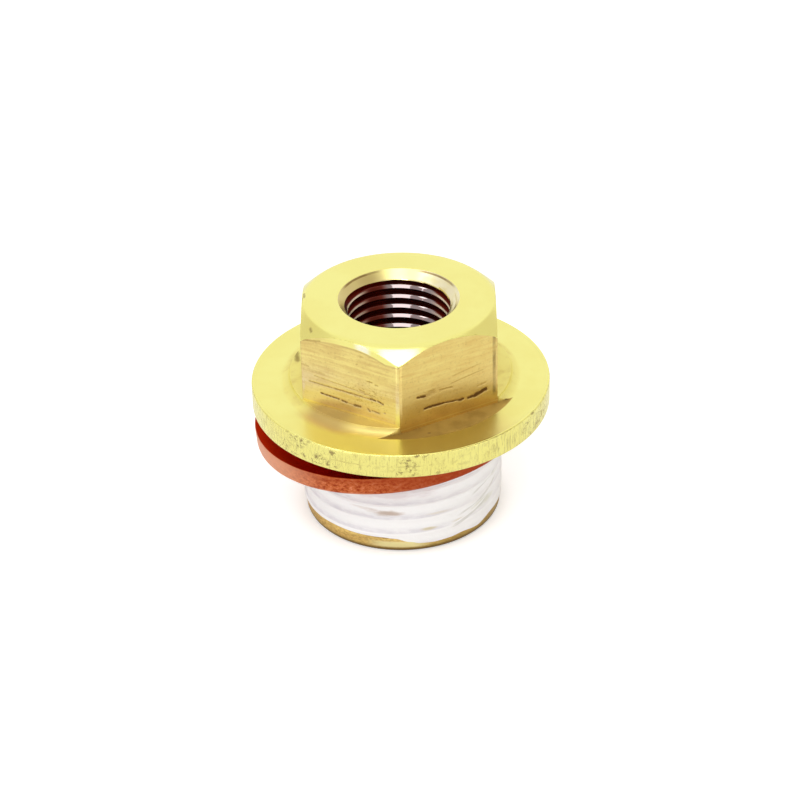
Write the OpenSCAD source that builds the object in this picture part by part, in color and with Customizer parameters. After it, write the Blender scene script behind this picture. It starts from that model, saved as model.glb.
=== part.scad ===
// Oil galley plug with a flanged hexagon head, a tapped port through its middle,
// a loose copper washer under the flange and sealing tape wound on the shank.
// Millimetres, +Z up. The origin is the centre of the shank's end face, which it stands on.
// One corner of the hexagon points towards -Y.

/* [Head] */
// Width across the flats of the hexagon
hex_af = 17; // [15:0.5:19]
// Height of the hexagon above its turned foot
hex_h = 7.3; // [5:0.1:12]
// Diameter of the flat circle that the turned corners leave on top
top_face_d = 16.7; // [16.2:0.1:17.8]
// Radius of the slightly crowned turning that takes the corners off
corner_crown = 13.5; // [12:0.5:16]
// Radial step from the hexagon's corners out to the edge of the turned foot
foot_step = 0.05; // [0.03:0.01:0.3]
// Height of the turned foot, which is also the depth of its hollow fillet
foot_h = 0.6; // [0.3:0.05:1]
// Radial width of the hollow fillet round the foot
fillet_w = 0.85; // [0.4:0.05:1.2]

/* [Flange] */
// Diameter of the flange
flange_d = 26.6; // [26:0.2:34]
// Thickness of the flange at its rim
flange_t = 2.25; // [1.5:0.05:4]
// Size of the broken edges of the rim
flange_edge = 0.12; // [0.05:0.01:0.3]

/* [Shank] */
// Length of the shank under the flange
shank_len = 10.85; // [9.5:0.05:16]
// Outside diameter of the shank's thread
thread_d = 17.7; // [16:0.02:18.5]
// Pitch of the shank's thread, which the tape shows as ridges
thread_pitch = 1.5; // [1.25:0.05:1.75]
// Chamfer at the foot of the shank
nose_chamfer = 0.3; // [0.1:0.02:0.5]
// Room that the relief groove leaves over the washer's thickness
relief_room = 0.29; // [0.15:0.01:0.4]
// Depth of the relief groove below the thread's outside
relief_depth = 1; // [0.6:0.1:1.4]
// Radius in the corner between the relief groove and the flange
relief_radius = 0.4; // [0.2:0.05:0.6]

/* [Port] */
// Diameter of the port's drilled wall, the size for tapping its thread
port_d = 9; // [8:0.1:10]
// Depth of the drilled wall below the top face
port_depth = 12; // [8:0.5:15]
// Diameter of the countersink at the mouth of the port
port_mouth_d = 10.7; // [10.2:0.02:11.4]
// Point angle of the drill that made the port
drill_angle = 118; // [90:1:135]
// Diameter of the oil passage from the port to the shank's end
oil_hole_d = 5; // [3:0.5:7]
// Chamfer where the oil passage comes out
oil_hole_chamfer = 0.4; // [0.1:0.1:0.8]

/* [Washer] */
// Play of the washer's hole over the taped thread, on the diameter
washer_play = 1.42; // [1.2:0.02:2]
// Radial width of the ring
washer_w = 2.5; // [2:0.05:2.8]
// Thickness of the washer
washer_t = 1.6; // [1:0.1:2]
// Broken edges of the washer
washer_edge = 0.12; // [0.05:0.01:0.25]
// How far the washer's hole hooks over the end of the taped thread on its high side
washer_hook = 0.3; // [0.1:0.02:0.5]
// Turn of the washer's low side away from -X
washer_turn = -15; // [-180:5:180]
// Gap that keeps the resting washer off what it touches
seat_gap = 0.03; // [0.02:0.01:0.1]

/* [Tape] */
// Height of the tape's crests over the thread's outside
tape_t = 0.18; // [0.1:0.01:0.3]
// Depth to which the tape sinks between two crests
tape_dip = 0.14; // [0.06:0.01:0.18]
// Width of the flat land on each crest
crest_w = 0.26; // [0.1:0.02:0.5]
// Height of the first crest above the shank's end
first_crest = 1.9; // [1.8:0.05:2.3]
// Height of the tape's lower edge on its low side, towards +X
tape_low = 0.85; // [0.6:0.05:0.95]
// Rise of the lower edge across the shank, up towards -X
tape_rise = 0.75; // [0:0.05:0.85]
// Gap between the tape and the thread's outside
tape_gap = 0.01; // [0.005:0.005:0.03]

/* [Hidden] */
$fa = 3;
$fs = 0.2;

brass = [0.86, 0.74, 0.36];
copper = [0.76, 0.38, 0.20];
white_tape = [0.94, 0.94, 0.95];

// Overlap of a cut past the face that it opens
cut = 1;
// Steps in a quarter round
arc_steps = 6;
// Points across the hollow between two crests of the tape
dip_steps = 6;

hex_corner_r = hex_af / 2 / cos(30);
foot_r = hex_corner_r + foot_step;
flange_r = flange_d / 2;
flange_top = shank_len + flange_t;
foot_top = flange_top + foot_h;
top_z = foot_top + hex_h;

thread_r = thread_d / 2;
relief_r = thread_r - relief_depth;
relief_w = washer_t + relief_room;
relief_z = shank_len - relief_w;

port_r = port_d / 2;
port_mouth_r = port_mouth_d / 2;
port_floor = top_z - port_depth;
oil_hole_r = oil_hole_d / 2;
drill_point_h = (port_r - oil_hole_r) / tan(drill_angle / 2);

tape_r = thread_r + tape_t;
// The tape covers the thread nearly up to its end
tape_top = relief_z - 2 * seat_gap;
crests = 1 + floor((tape_top - thread_pitch / 2 - first_crest) / thread_pitch);
last_crest = first_crest + (crests - 1) * thread_pitch;

washer_hole_r = tape_r + washer_play / 2;
washer_r = washer_hole_r + washer_w;
// The high side is wedged in the relief groove, its rim under the flange and the edge of
// its hole on the end of the thread, and this sets how far the low side hangs down
washer_tilt = asin((relief_w - 2 * seat_gap) / norm([washer_w, washer_t]))
    - atan2(washer_t, washer_w);
washer_shift = washer_hole_r * cos(washer_tilt) - (tape_r - washer_hook);
washer_z = shank_len - seat_gap - washer_t * cos(washer_tilt) - washer_r * sin(washer_tilt);

// Points of a hollow quarter round from the flange's top in to the foot's edge
function foot_fillet() = [
    for (i = [0 : arc_steps])
        let (a = 90 * i / arc_steps)
        [foot_r + fillet_w * (1 - sin(a)), foot_top - foot_h * cos(a)]
];

// Points of the corner radius from the relief groove out to the flange
function relief_corner() = [
    for (i = [0 : arc_steps])
        let (a = 90 * i / arc_steps)
        [
            relief_r + relief_radius * (1 - cos(a)),
            shank_len - relief_radius * (1 - sin(a))
        ]
];

// Half section of the turned shape: shank, relief groove, flange and foot
module turned_section() {
    polygon(concat(
        [
            [0, 0],
            [thread_r - nose_chamfer, 0],
            [thread_r, nose_chamfer],
            [thread_r, relief_z],
            [relief_r, relief_z]
        ],
        relief_corner(),
        [
            [flange_r - flange_edge, shank_len],
            [flange_r, shank_len + flange_edge],
            [flange_r, flange_top - flange_edge],
            [flange_r - flange_edge, flange_top]
        ],
        foot_fillet(),
        [[0, foot_top]]
    ));
}

// Half section of the port, its drill point and the oil passage
module port_section() {
    polygon([
        [0, top_z + cut],
        [port_mouth_r + cut, top_z + cut],
        [port_r, top_z - (port_mouth_r - port_r)],
        [port_r, port_floor],
        [oil_hole_r, port_floor - drill_point_h],
        [oil_hole_r, oil_hole_chamfer],
        [oil_hole_r + oil_hole_chamfer + cut, -cut],
        [0, -cut]
    ]);
}

// Hexagon from inside the foot up to the top face, with turned corners
module hexagon() {
    intersection() {
        translate([0, 0, foot_top - foot_h / 2])
            rotate([0, 0, 30])
                cylinder(r = hex_corner_r, h = hex_h + foot_h / 2, $fn = 6);
        translate([0, 0, top_z - sqrt(corner_crown ^ 2 - (top_face_d / 2) ^ 2)])
            sphere(r = corner_crown);
    }
}

module plug_body() {
    color(brass)
        difference() {
            union() {
                rotate_extrude() turned_section();
                hexagon();
            }
            rotate_extrude() port_section();
        }
}

// Half section of the flat ring, with broken edges
module washer_section() {
    inner = washer_hole_r;
    outer = washer_r;
    polygon([
        [inner + washer_edge, 0],
        [outer - washer_edge, 0],
        [outer, washer_edge],
        [outer, washer_t - washer_edge],
        [outer - washer_edge, washer_t],
        [inner + washer_edge, washer_t],
        [inner, washer_t - washer_edge],
        [inner, washer_edge]
    ]);
}

module copper_washer() {
    color(copper)
        rotate([0, 0, washer_turn])
            translate([-washer_shift, 0, washer_z])
                rotate([0, -washer_tilt, 0])
                    rotate_extrude() washer_section();
}

// Points of one hollow of the tape, from the crest below it up to the next crest
function tape_hollow(crest_z) = [
    for (i = [0 : dip_steps])
        let (s = i / dip_steps, gap = thread_pitch - crest_w)
        [tape_r - tape_dip * sin(180 * s), crest_z + crest_w / 2 + s * gap]
];

// Half section of the wound tape: flat crests with hollows between them, and a hollow at
// each end that the tape's edges cut short
module tape_section() {
    inner = thread_r + tape_gap;
    intersection() {
        polygon(concat(
            [[inner, first_crest - thread_pitch]],
            [for (k = [-1 : crests - 1]) each tape_hollow(first_crest + k * thread_pitch)],
            [[inner, last_crest + thread_pitch]]
        ));
        square([2 * tape_r, tape_top]);
    }
}

// Everything below the tape's slanting lower edge
module below_tape_edge() {
    slope = atan(tape_rise / (2 * tape_r));
    size = 3 * tape_r;
    translate([0, 0, tape_low + tape_rise / 2])
        rotate([0, slope, 0])
            translate([-size / 2, -size / 2, -size])
                cube(size);
}

module thread_tape() {
    color(white_tape)
        difference() {
            rotate_extrude() tape_section();
            below_tape_edge();
        }
}

plug_body();
copper_washer();
thread_tape();
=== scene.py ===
import math

import bmesh
import bpy
from mathutils import Matrix, Vector, noise


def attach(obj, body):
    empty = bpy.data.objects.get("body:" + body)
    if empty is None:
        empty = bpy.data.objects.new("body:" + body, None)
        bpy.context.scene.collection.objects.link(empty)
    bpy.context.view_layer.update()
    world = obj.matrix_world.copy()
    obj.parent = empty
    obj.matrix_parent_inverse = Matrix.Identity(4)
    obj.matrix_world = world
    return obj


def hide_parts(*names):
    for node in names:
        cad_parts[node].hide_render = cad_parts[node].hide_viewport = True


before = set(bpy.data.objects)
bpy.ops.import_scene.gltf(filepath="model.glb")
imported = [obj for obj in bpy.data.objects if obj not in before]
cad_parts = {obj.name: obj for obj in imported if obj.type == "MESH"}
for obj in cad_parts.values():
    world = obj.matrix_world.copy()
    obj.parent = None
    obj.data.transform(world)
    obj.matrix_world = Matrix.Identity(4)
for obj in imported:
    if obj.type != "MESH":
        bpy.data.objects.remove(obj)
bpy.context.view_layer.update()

MM = 0.001
TURN = math.tau

# Sizes in millimetres, the same as the solids have
HEX_FLAT = 8.5
FOOT_R = 9.865
FOOT_H = 0.6
FILLET_W = 0.85
FLANGE_TOP = 13.1
FLANGE_R = 13.3
SHANK_LEN = 10.85
TOP = 21.0
CROWN = 13.5
TOP_FACE_R = 8.35
MOUTH_R = 5.35
PORT_R = 4.5
PORT_FLOOR = 9.0
PASSAGE_R = 2.5
SHANK_R = 8.85
RELIEF_R = 7.85
RELIEF_ROOM = 0.29
RELIEF_CORNER = 0.4
TAPE_R = 9.03
TAPE_TOP = 8.9
FIRST_CREST = 1.9
SHANK_PITCH = 1.5
WASHER_HOLE_R = 9.74
WASHER_R = 12.24
WASHER_T = 1.6
WASHER_HOOK = 0.3
WASHER_TURN = -15.0
SEAT_GAP = 0.03

FOOT_TOP = FLANGE_TOP + FOOT_H
CORNER_R = HEX_FLAT / math.cos(math.radians(30))
RELIEF_Z = SHANK_LEN - WASHER_T - RELIEF_ROOM
GROOVE_END = RELIEF_Z - 0.18

# Sizes that only this script has: rounded edges, both threads and the inside of the tape
RIM_EDGE = 0.14
HEX_EDGE = 0.07
MOUTH_EDGE = 0.12
PORT_PITCH = 1.0
PORT_START = 8.1
THREAD_DEPTH = 0.92
THREAD_CREST = 0.2
TAPE_INSIDE = 8.865

# How near two heights are to count as one
NEAR = 1e-3


def lerp(a, b, t):
    return a + (b - a) * t


def ease(low, high, value):
    """Rises softly from nought at low to one at high."""
    t = min(1.0, max(0.0, (value - low) / (high - low)))
    return t * t * (3 - 2 * t)


def at_angle(degrees, radius, height):
    a = math.radians(degrees)
    return Vector((radius * math.cos(a), radius * math.sin(a), height))


def on_flat(degrees, across, height):
    """A place on the hexagon's flat that faces the given way, so far across from its middle."""
    a = math.radians(degrees)
    out = Vector((math.cos(a), math.sin(a), 0)) * HEX_FLAT
    return out + Vector((-math.sin(a), math.cos(a), 0)) * across + Vector((0, 0, height))


# The photograph's width and the focal length that fits it, both in pixels
FRAME_WIDTH = 800.0
FOCAL_LENGTH = 2470.0
SENSOR_WIDTH = 36.0


def place_camera():
    """The photograph's own view, from a long way off with a long lens."""
    distance = 221.6
    elevation = math.radians(31.77)
    roll = math.radians(-1.385)
    turn = math.radians(0.93)
    aim = Vector((-0.1, 0, 10.54))
    back = Vector((0, -math.cos(elevation), math.sin(elevation)))
    right = Vector((1, 0, 0))
    up = right.cross(-back)
    spin = Matrix.Rotation(turn, 3, "Z")
    across = spin @ (right * math.cos(roll) + up * math.sin(roll))
    upward = spin @ (up * math.cos(roll) - right * math.sin(roll))
    facing = Matrix((across, upward, spin @ back)).transposed().to_4x4()
    spot = spin @ (aim + back * distance)
    data = bpy.data.cameras.new("camera")
    data.sensor_width = SENSOR_WIDTH
    data.lens = FOCAL_LENGTH / FRAME_WIDTH * SENSOR_WIDTH
    data.clip_start = 0.01
    data.clip_end = 20.0
    camera = bpy.data.objects.new("camera", data)
    camera.matrix_world = Matrix.Translation(spot * MM) @ facing
    bpy.context.collection.objects.link(camera)
    bpy.context.scene.camera = camera


place_camera()


def finish_mesh(bm, name, sharp=35.0):
    """Turns a bmesh in millimetres into an object in metres, smooth but for its sharp edges."""
    bmesh.ops.scale(bm, vec=(MM, MM, MM), verts=bm.verts[:])
    for face in bm.faces:
        face.smooth = True
    limit = math.radians(sharp)
    for edge in bm.edges:
        edge.smooth = len(edge.link_faces) != 2 or edge.calc_face_angle(0.0) < limit
    mesh = bpy.data.meshes.new(name)
    bm.to_mesh(mesh)
    bm.free()
    piece = bpy.data.objects.new(name, mesh)
    bpy.context.collection.objects.link(piece)
    return piece


def join_into(bm, other):
    """Adds another bmesh to this one."""
    mesh = bpy.data.meshes.new("part")
    other.to_mesh(mesh)
    other.free()
    bm.from_mesh(mesh)
    bpy.data.meshes.remove(mesh)


def turned(bm, section, steps=180, rise=0.0, merge=True):
    """Spins a line of (radius, height) places once round the plug's axis."""
    verts = [bm.verts.new((radius, 0, height)) for radius, height in section]
    edges = [bm.edges.new(pair) for pair in zip(verts, verts[1:])]
    bmesh.ops.spin(
        bm, geom=verts + edges, cent=(0, 0, 0), axis=(0, 0, 1), dvec=(0, 0, rise / steps),
        angle=TURN, steps=steps, use_merge=merge, use_duplicate=False,
    )


def reach_of(vert):
    """How far a vertex is from the axis."""
    return math.hypot(vert.co.x, vert.co.y)


def set_radius(vert, radius):
    grow = radius / reach_of(vert)
    vert.co.x *= grow
    vert.co.y *= grow


def open_ring(bm, height, inside=0.0, outside=99.0):
    """The open edges that lie at one height, between two radii."""
    def fits(vert):
        return abs(vert.co.z - height) < NEAR and inside < reach_of(vert) < outside

    return [e for e in bm.edges if e.is_boundary and all(fits(v) for v in e.verts)]


def open_edges_but(bm, ring):
    """The open edges that aren't in the given ring."""
    kept = set(ring)
    return [e for e in bm.edges if e.is_boundary and e not in kept]


def draw_on(bm, ring):
    """Extrudes a ring of open edges where it lies, and gives the new open ring."""
    made = bmesh.ops.extrude_edge_only(bm, edges=ring)["geom"]
    return [g for g in made if isinstance(g, bmesh.types.BMEdge) and g.is_boundary]


def verts_of(edges):
    return {v for e in edges for v in e.verts}


def carry(bm, ring, section):
    """Draws a ring of edges on through (radius, height) places, each place a ring of its own."""
    for radius, height in section:
        ring = draw_on(bm, ring)
        for vert in verts_of(ring):
            set_radius(vert, radius)
            vert.co.z = height
    return ring


def cut_off(bm, point, outward):
    """Cuts away all that lies beyond a plane."""
    bmesh.ops.bisect_plane(
        bm, geom=bm.verts[:] + bm.edges[:] + bm.faces[:], dist=1e-5,
        plane_co=point, plane_no=outward, clear_outer=True,
    )


def join_rings(bm, ring_a, ring_b):
    """Closes the gap between two rings of open edges."""
    bmesh.ops.bridge_loops(bm, edges=ring_a + ring_b)


def arc(radius, height, size, start, stop, steps=5):
    """Places on a round of the given size about (radius, height), between two angles in degrees."""
    angles = [math.radians(lerp(start, stop, i / steps)) for i in range(steps + 1)]
    return [(radius + size * math.cos(a), height + size * math.sin(a)) for a in angles]


def thread_form(major, minor, pitch, crest, steps_flank=3):
    """One pitch of a thread's section, from the middle of a crest to the middle of the next."""
    root = pitch - crest - 2 * (major - minor) * math.tan(math.radians(30))
    points = [(major, 0.0), (major, crest / 2)]
    for i in range(1, steps_flank + 1):
        t = i / steps_flank
        points.append((lerp(major, minor, t), lerp(crest / 2, (pitch - root) / 2, t)))
    return points + [(r, pitch - z) for r, z in reversed(points)]


def wind_thread(section, pitch, start, turns, steps=144):
    """Winds one pitch of section once round a right-hand helix and stacks copies of that turn."""
    bm = bmesh.new()
    turned(bm, [(r, start + z) for r, z in section], steps, pitch, merge=False)
    one_turn = bm.verts[:] + bm.edges[:] + bm.faces[:]
    for i in range(1, turns):
        copied = bmesh.ops.duplicate(bm, geom=one_turn)["geom"]
        verts = [g for g in copied if isinstance(g, bmesh.types.BMVert)]
        bmesh.ops.translate(bm, vec=(0, 0, pitch * i), verts=verts)
    bmesh.ops.remove_doubles(bm, verts=bm.verts[:], dist=0.004)
    return bm


def trim_ends(bm, low, high):
    """Cuts a wound thread square at both ends."""
    cut_off(bm, (0, 0, high), (0, 0, 1))
    cut_off(bm, (0, 0, low), (0, 0, -1))


# One pitch of the port's thread as (radius, height): the crest at the drill's size, a worn bevel
# above it, the upper flank, the root and the lower flank
PORT_FORM = (
    (4.52, 0.0), (4.50, 0.08),
    (4.54, 0.12), (4.60, 0.18), (4.66, 0.24), (4.72, 0.30), (4.78, 0.345),
    (4.90, 0.42), (5.03, 0.515), (5.05, 0.55), (5.03, 0.59),
    (4.80, 0.72), (4.60, 0.835), (4.55, 0.88), (4.53, 0.94), (4.52, 1.0),
)


def port_wall():
    """The tapped wall of the port: its thread fades in at the countersink and out above the floor."""
    turns = 14
    low = PORT_FLOOR + 0.2
    high = TOP - 0.25
    run_out = 1.6
    bm = wind_thread(PORT_FORM, PORT_PITCH, PORT_START, turns)
    for vert in bm.verts:
        height = vert.co.z
        radius = lerp(PORT_R, reach_of(vert), ease(low, low + run_out, height))
        set_radius(vert, max(radius, MOUTH_R - (TOP - height)))
    trim_ends(bm, low, high)
    return bm, low, high


def shank_thread():
    """The thread under the tape, which starts just above the bare nose."""
    turns = 8
    start = -0.4
    low, run_in = 1.2, 0.9
    high, run_out = 8.75, 0.5
    form = thread_form(SHANK_R, SHANK_R - THREAD_DEPTH, SHANK_PITCH, THREAD_CREST)
    bm = wind_thread(form, SHANK_PITCH, start, turns)
    for vert in bm.verts:
        height = vert.co.z
        share = ease(low, low + run_in, height) * (1 - ease(high - run_out, high, height))
        set_radius(vert, lerp(SHANK_R, reach_of(vert), share))
    trim_ends(bm, low, high)
    return bm, low, high


# Radius on the flat top from which the turned corners are modelled outwards
FACE_IN = 8.0


def crown_height(radius):
    """Height of the head's turned corners, blended softly into the flat top."""
    sphere = TOP - math.sqrt(CROWN ** 2 - TOP_FACE_R ** 2) + math.sqrt(CROWN ** 2 - radius ** 2)
    blend = 0.2
    mix = min(1.0, max(0.0, 0.5 + (sphere - TOP) / (2 * blend)))
    return lerp(sphere, TOP, mix) - blend * mix * (1 - mix)


# The cutter's two ways through the foot in front of the right front flat, each as the way outwards
# and a place on it: along the flat, and swung a little round the flat's front corner
CUT_FLAT = -60.0
CUT_SWING = 11.0
CUT_WAYS = (
    (at_angle(CUT_FLAT, 1, 0), at_angle(CUT_FLAT, HEX_FLAT, 0)),
    (at_angle(CUT_FLAT - CUT_SWING, 1, 0), at_angle(CUT_FLAT - 30, CORNER_R, 0)),
)

# Over how little the cut drops from the foot to the flange, and half its length along the flat
CUT_WALL = 0.03
CUT_HALF = 7.0


def in_foot(height):
    """Whether a height lies in the turned foot, between the flange and the hexagon."""
    return FLANGE_TOP - 0.01 < height < FOOT_TOP + 0.01


def mill_foot(bm):
    """The cutter that milled one flat ran on past its corners, down to the flange, through the foot."""
    across = at_angle(CUT_FLAT + 90, 1, 0)
    for depth in (0.0, CUT_WALL):
        for out, place in CUT_WAYS:
            faces = [f for f in bm.faces if in_foot(f.calc_center_median().z)]
            edges = list({e for f in faces for e in f.edges})
            verts = list({v for f in faces for v in f.verts})
            bmesh.ops.bisect_plane(
                bm, geom=faces + edges + verts, dist=1e-5,
                plane_co=place + out * depth, plane_no=out,
            )
    for vert in bm.verts:
        past = max((vert.co - place).dot(out) for out, place in CUT_WAYS)
        if past > CUT_WALL - NEAR and abs(vert.co.dot(across)) < CUT_HALF and in_foot(vert.co.z):
            vert.co.z = FLANGE_TOP


def mill_head(bm):
    """The head's blank, turned, milled to a hexagon and drawn down to the foot, its edges broken."""
    corner_start = 8.95
    radii = [FACE_IN + 0.08 * i for i in range(12)] + [corner_start + 0.15 * i for i in range(8)]
    turned(bm, [(r, crown_height(r)) for r in radii])
    for side in range(6):
        cut_off(bm, at_angle(60 * side, HEX_FLAT, TOP), at_angle(60 * side, 1, 0))
    inner = open_ring(bm, crown_height(FACE_IN), FACE_IN - 1.0, FACE_IN + 0.05)
    base = draw_on(bm, open_edges_but(bm, inner))
    for vert in verts_of(base):
        vert.co.z = FOOT_TOP
    milled = [
        e for e in bm.edges
        if e.is_manifold and e.calc_face_angle(0.0) > math.radians(25)
        and all(v.co.z > FOOT_TOP - 0.01 for v in e.verts)
    ]
    bmesh.ops.bevel(
        bm, geom=milled, offset=HEX_EDGE, offset_type="OFFSET", affect="EDGES", segments=2,
        profile=0.5, material=-1,
    )


def turn_flange(bm):
    """From the hexagon's base: the foot, its hollow fillet, the flange and the relief groove."""
    hollow = [math.radians(80 - 8 * i) for i in range(11)]
    fillet = [(FOOT_R + FILLET_W * (1 - math.sin(a)), FOOT_TOP - FOOT_H * math.cos(a)) for a in hollow]
    ring = carry(bm, open_ring(bm, FOOT_TOP), [(FOOT_R - 0.02, FOOT_TOP), (FOOT_R, FOOT_TOP - 0.02)])
    ring = carry(bm, ring, fillet + [(FLANGE_R - 0.4, FLANGE_TOP)])
    ring = carry(bm, ring, arc(FLANGE_R - RIM_EDGE, FLANGE_TOP - RIM_EDGE, RIM_EDGE, 90, 0))
    ring = carry(bm, ring, [(FLANGE_R, FLANGE_TOP - 0.5), (FLANGE_R, SHANK_LEN + 0.5)])
    ring = carry(bm, ring, arc(FLANGE_R - RIM_EDGE, SHANK_LEN + RIM_EDGE, RIM_EDGE, 0, -90))
    ring = carry(bm, ring, [(FLANGE_R - 0.6, SHANK_LEN), (RELIEF_R + 0.6, SHANK_LEN)])
    corner = RELIEF_CORNER
    ring = carry(bm, ring, arc(RELIEF_R + corner, SHANK_LEN - corner, corner, 90, 180))
    carry(bm, ring, [
        (RELIEF_R, RELIEF_Z + 0.1), (RELIEF_R + 0.1, RELIEF_Z), (SHANK_R - 0.25, RELIEF_Z),
        (SHANK_R, GROOVE_END),
    ])


def turn_nose(bm, ring):
    """From the thread's lower end: the rounded nose, the oil passage and the port's drill point."""
    ring = carry(bm, ring, [
        (SHANK_R, 0.7), (SHANK_R, 0.5), (SHANK_R - 0.02, 0.34), (SHANK_R - 0.09, 0.2),
        (SHANK_R - 0.2, 0.08), (SHANK_R - 0.32, 0.02), (SHANK_R - 0.45, 0.0),
    ])
    ring = carry(bm, ring, [
        (5.5, 0.0), (PASSAGE_R + 0.42, 0.0), (PASSAGE_R + 0.38, 0.03), (PASSAGE_R + 0.02, 0.37),
        (PASSAGE_R, 0.42),
    ])
    return carry(bm, ring, [
        (PASSAGE_R, 3.0), (PASSAGE_R, 6.0), (PASSAGE_R, PORT_FLOOR - 1.2),
        (PORT_R - 0.06, PORT_FLOOR - 0.03), (PORT_R, PORT_FLOOR + 0.02),
    ])


def make_plug():
    bm = bmesh.new()
    mill_head(bm)
    turn_flange(bm)
    mill_foot(bm)
    thread, thread_low, thread_high = shank_thread()
    port, port_low, port_high = port_wall()
    join_into(bm, thread)
    join_into(bm, port)
    join_rings(bm, open_ring(bm, GROOVE_END), open_ring(bm, thread_high))
    ring = turn_nose(bm, open_ring(bm, thread_low))
    join_rings(bm, ring, open_ring(bm, port_low))
    mouth = open_ring(bm, port_high, 0.0, 6.0)
    ring = carry(bm, mouth, arc(MOUTH_R + 0.05, TOP - MOUTH_EDGE, MOUTH_EDGE, 135, 90, 4))
    ring = carry(bm, ring, [(MOUTH_R + 0.3, TOP), (6.8, TOP)])
    join_rings(bm, open_ring(bm, crown_height(FACE_IN), FACE_IN - 1.0), ring)
    bmesh.ops.recalc_face_normals(bm, faces=bm.faces[:])
    for face in bm.faces:
        face.material_index = plug_slot(face)
    return finish_mesh(bm, "brass_plug")


# The plug's finishes, in the order of its material slots
TURNED, THREAD, LEFT, RIGHT, OTHER = range(5)


def plug_slot(face):
    """Which of the plug's finishes a face has."""
    middle = face.calc_center_median()
    reach = math.hypot(middle.x, middle.y)
    # the port's wall and its drill point, up to the countersink
    in_port = reach < PORT_R + 0.62 and PORT_FLOOR - 1.3 < middle.z < TOP - 0.75
    if in_port and abs(face.normal.z) < 0.99:
        return THREAD
    past_flat = middle.dot(CUT_WAYS[0][0]) - HEX_FLAT
    cut_wall = FLANGE_TOP < middle.z < FOOT_TOP and -0.01 < past_flat < CUT_WALL and reach < CORNER_R
    on_hexagon = middle.z > FOOT_TOP and reach > HEX_FLAT - 0.1 and abs(face.normal.z) < 0.2
    if not (cut_wall or on_hexagon):
        return TURNED
    if middle.y >= 0 or abs(middle.x) >= HEX_FLAT:
        return OTHER
    return LEFT if middle.x < 0 else RIGHT


def washer_place():
    """Where the ring lies: wedged in the relief groove on its high side, hanging on its low side."""
    width = WASHER_R - WASHER_HOLE_R
    room = WASHER_T + RELIEF_ROOM - 2 * SEAT_GAP
    tilt = math.asin(room / math.hypot(width, WASHER_T)) - math.atan2(WASHER_T, width)
    shift = WASHER_HOLE_R * math.cos(tilt) - (TAPE_R - WASHER_HOOK)
    lift = SHANK_LEN - SEAT_GAP - WASHER_T * math.cos(tilt) - WASHER_R * math.sin(tilt)
    turn = Matrix.Rotation(math.radians(WASHER_TURN), 4, "Z")
    return turn @ Matrix.Translation((-shift, 0, lift)) @ Matrix.Rotation(-tilt, 4, "Y")


WASHER_PLACE = washer_place()


def washer_section():
    """The ring's section, once round, with rounded edges and places a little in from them."""
    edge = RIM_EDGE
    inner, outer = WASHER_HOLE_R + edge, WASHER_R - edge
    low = arc(inner, edge, edge, 180, 270) + [(WASHER_HOLE_R + 0.9, 0), (WASHER_R - 0.9, 0)]
    rim = arc(outer, edge, edge, -90, 0) + [(WASHER_R, 0.5), (WASHER_R, WASHER_T - 0.5)]
    high = arc(outer, WASHER_T - edge, edge, 0, 90)
    high += [(WASHER_R - 0.9, WASHER_T), (WASHER_HOLE_R + 0.9, WASHER_T)]
    section = low + rim + high + arc(inner, WASHER_T - edge, edge, 90, 180)
    return section + section[:1]


def make_washer():
    bm = bmesh.new()
    turned(bm, washer_section())
    bmesh.ops.remove_doubles(bm, verts=bm.verts[:], dist=1e-4)
    bmesh.ops.recalc_face_normals(bm, faces=bm.faces[:])
    # soft copper is never quite true: its rim is a little uneven, always inwards
    unevenness = 0.03
    for vert in bm.verts:
        reach = reach_of(vert)
        if reach > WASHER_R - 0.3:
            place = Vector((vert.co.x * 0.6, vert.co.y * 0.6, vert.co.z * 1.5))
            set_radius(vert, reach - unevenness * abs(noise.noise(place)))
    # the flat faces take the copper with the painted shade
    for face in bm.faces:
        face.material_index = int(abs(face.normal.z) > 0.8)
    bmesh.ops.transform(bm, matrix=WASHER_PLACE, verts=bm.verts[:])
    return finish_mesh(bm, "copper_ring")


# The tape's lower edge: angle round the shank in degrees from +X, and height
TAPE_FOOT = (
    (-180, 1.5), (-147, 1.54), (-133, 1.62), (-117, 1.55), (-101, 1.57), (-95, 1.5), (-86, 1.12),
    (-80, 0.92), (-72, 0.85), (-62, 0.9), (-54, 1.0), (-43, 0.86), (-27, 1.2), (0, 1.05),
    (35, 1.2), (80, 1.1), (120, 1.3), (155, 1.4), (180, 1.5),
)


def tape_foot(degrees):
    """Height of the tape's lower edge at an angle round the shank."""
    for (a, low), (b, high) in zip(TAPE_FOOT, TAPE_FOOT[1:]):
        if a <= degrees <= b:
            return lerp(low, high, ease(a, b, degrees))
    return TAPE_FOOT[0][1]


# Creases and folded edges of the film: angle and height of both ends, half width and rise
TAPE_CREASES = (
    (-50, 3.2, -22, 4.4, 0.16, 0.07),
    (-58, 2.6, -30, 3.0, 0.12, 0.05),
    (-46, 5.2, -25, 6.0, 0.10, 0.04),
    (-150, 5.0, -120, 3.6, 0.12, 0.03),
    (20, 2.0, 60, 4.2, 0.14, 0.06),
    (110, 5.0, 150, 3.4, 0.14, 0.05),
)


def unrolled(degrees, height):
    """A place on the tape as it would lie on a flat sheet."""
    return Vector((math.radians(degrees) * TAPE_R, height))


def crease_rise(degrees, height):
    """How far the film's creases stand up at a place on the shank."""
    rise = 0.0
    for a, low, b, high, half, up in TAPE_CREASES:
        start, end = unrolled(a, low), unrolled(b, high)
        along = end - start
        place = unrolled(degrees, height) - start
        share = min(1.0, max(0.0, place.dot(along) / along.length_squared))
        away = (place - along * share).length
        ends = math.sin(math.pi * min(1.0, 0.12 + share)) ** 0.5
        rise += up * math.exp(-(away / half) ** 2) * ends
    return rise


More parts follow.
